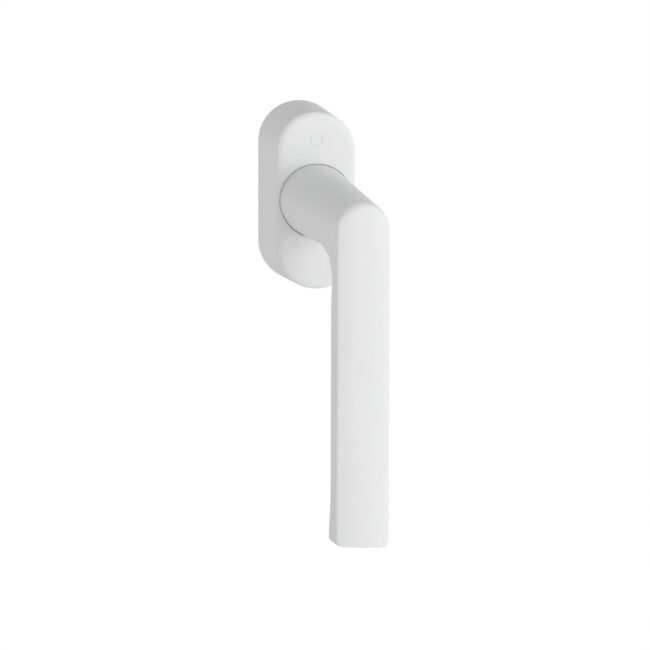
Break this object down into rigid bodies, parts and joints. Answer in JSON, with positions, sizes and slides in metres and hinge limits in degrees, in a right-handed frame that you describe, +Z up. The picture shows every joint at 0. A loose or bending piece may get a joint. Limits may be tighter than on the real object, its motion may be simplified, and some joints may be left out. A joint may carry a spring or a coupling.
{
  "type": "window handle",
  "caption": "Tilt-and-turn window handle: straight flat grip on a tapering neck, turning on an oval screw-on rose with a square spindle, all in white powder coat.",
  "frame": {"origin": "on the spindle axis, in the plane of the sash face that the rose is screwed to", "axes": "+Y into the sash along the spindle, +Z up along the rose, +X right as seen from the room; the grip points along -Z when the window is locked"},
  "size_m": [0.0308, 0.0778, 0.1539],
  "materials": {
    "powder_coat": "satin",
    "cast_zinc": "satin",
    "black_nylon": "matte",
    "zinc_plated_steel": "satin",
    "bright_steel": "polished",
    "spring_steel": "satin",
    "acetal": "satin"
  },
  "bodies": {
    "rose_base": {"base_plate": "cast_zinc", "clip_frame": "black_nylon", "pocket_plate": "zinc_plated_steel", "neck_bush": "acetal", "thrust_washer": "bright_steel", "detent_cage": "acetal", "detent_spring_upper": "spring_steel", "detent_spring_lower": "spring_steel", "fixing_screw_upper": "zinc_plated_steel", "fixing_screw_lower": "zinc_plated_steel", "plate_screw_upper_left": "zinc_plated_steel", "plate_screw_upper_right": "zinc_plated_steel", "plate_screw_lower_left": "zinc_plated_steel", "plate_screw_lower_right": "zinc_plated_steel"},
    "handle": {"grip": "powder_coat", "spindle": "zinc_plated_steel", "spindle_pin": "bright_steel", "detent_hub": "bright_steel", "retaining_ring": "spring_steel", "wave_washer": "spring_steel"},
    "cover": {"rose_cover": "powder_coat"},
    "ball_upper": {"detent_ball_upper": "bright_steel"},
    "ball_lower": {"detent_ball_lower": "bright_steel"}
  },
  "joints": [
    {"name": "handle_turn", "type": "hinge", "parent": "rose_base", "child": "handle", "pos_m": [0, 0, 0], "axis": [0, -1, 0], "range_deg": [0, 180]},
    {"name": "cover_lift", "type": "slide", "parent": "rose_base", "child": "cover", "axis": [0, -1, 0], "range_m": [0, 0.014]},
    {"name": "ball_upper_press", "type": "slide", "parent": "rose_base", "child": "ball_upper", "axis": [0, 0, -1], "range_m": [0, 0.0012], "stiffness_N_per_m": 400, "deforming": ["detent_spring_upper"]},
    {"name": "ball_lower_press", "type": "slide", "parent": "rose_base", "child": "ball_lower", "axis": [0, 0, 1], "range_m": [0, 0.0012], "stiffness_N_per_m": 400, "deforming": ["detent_spring_lower"]}
  ]
}
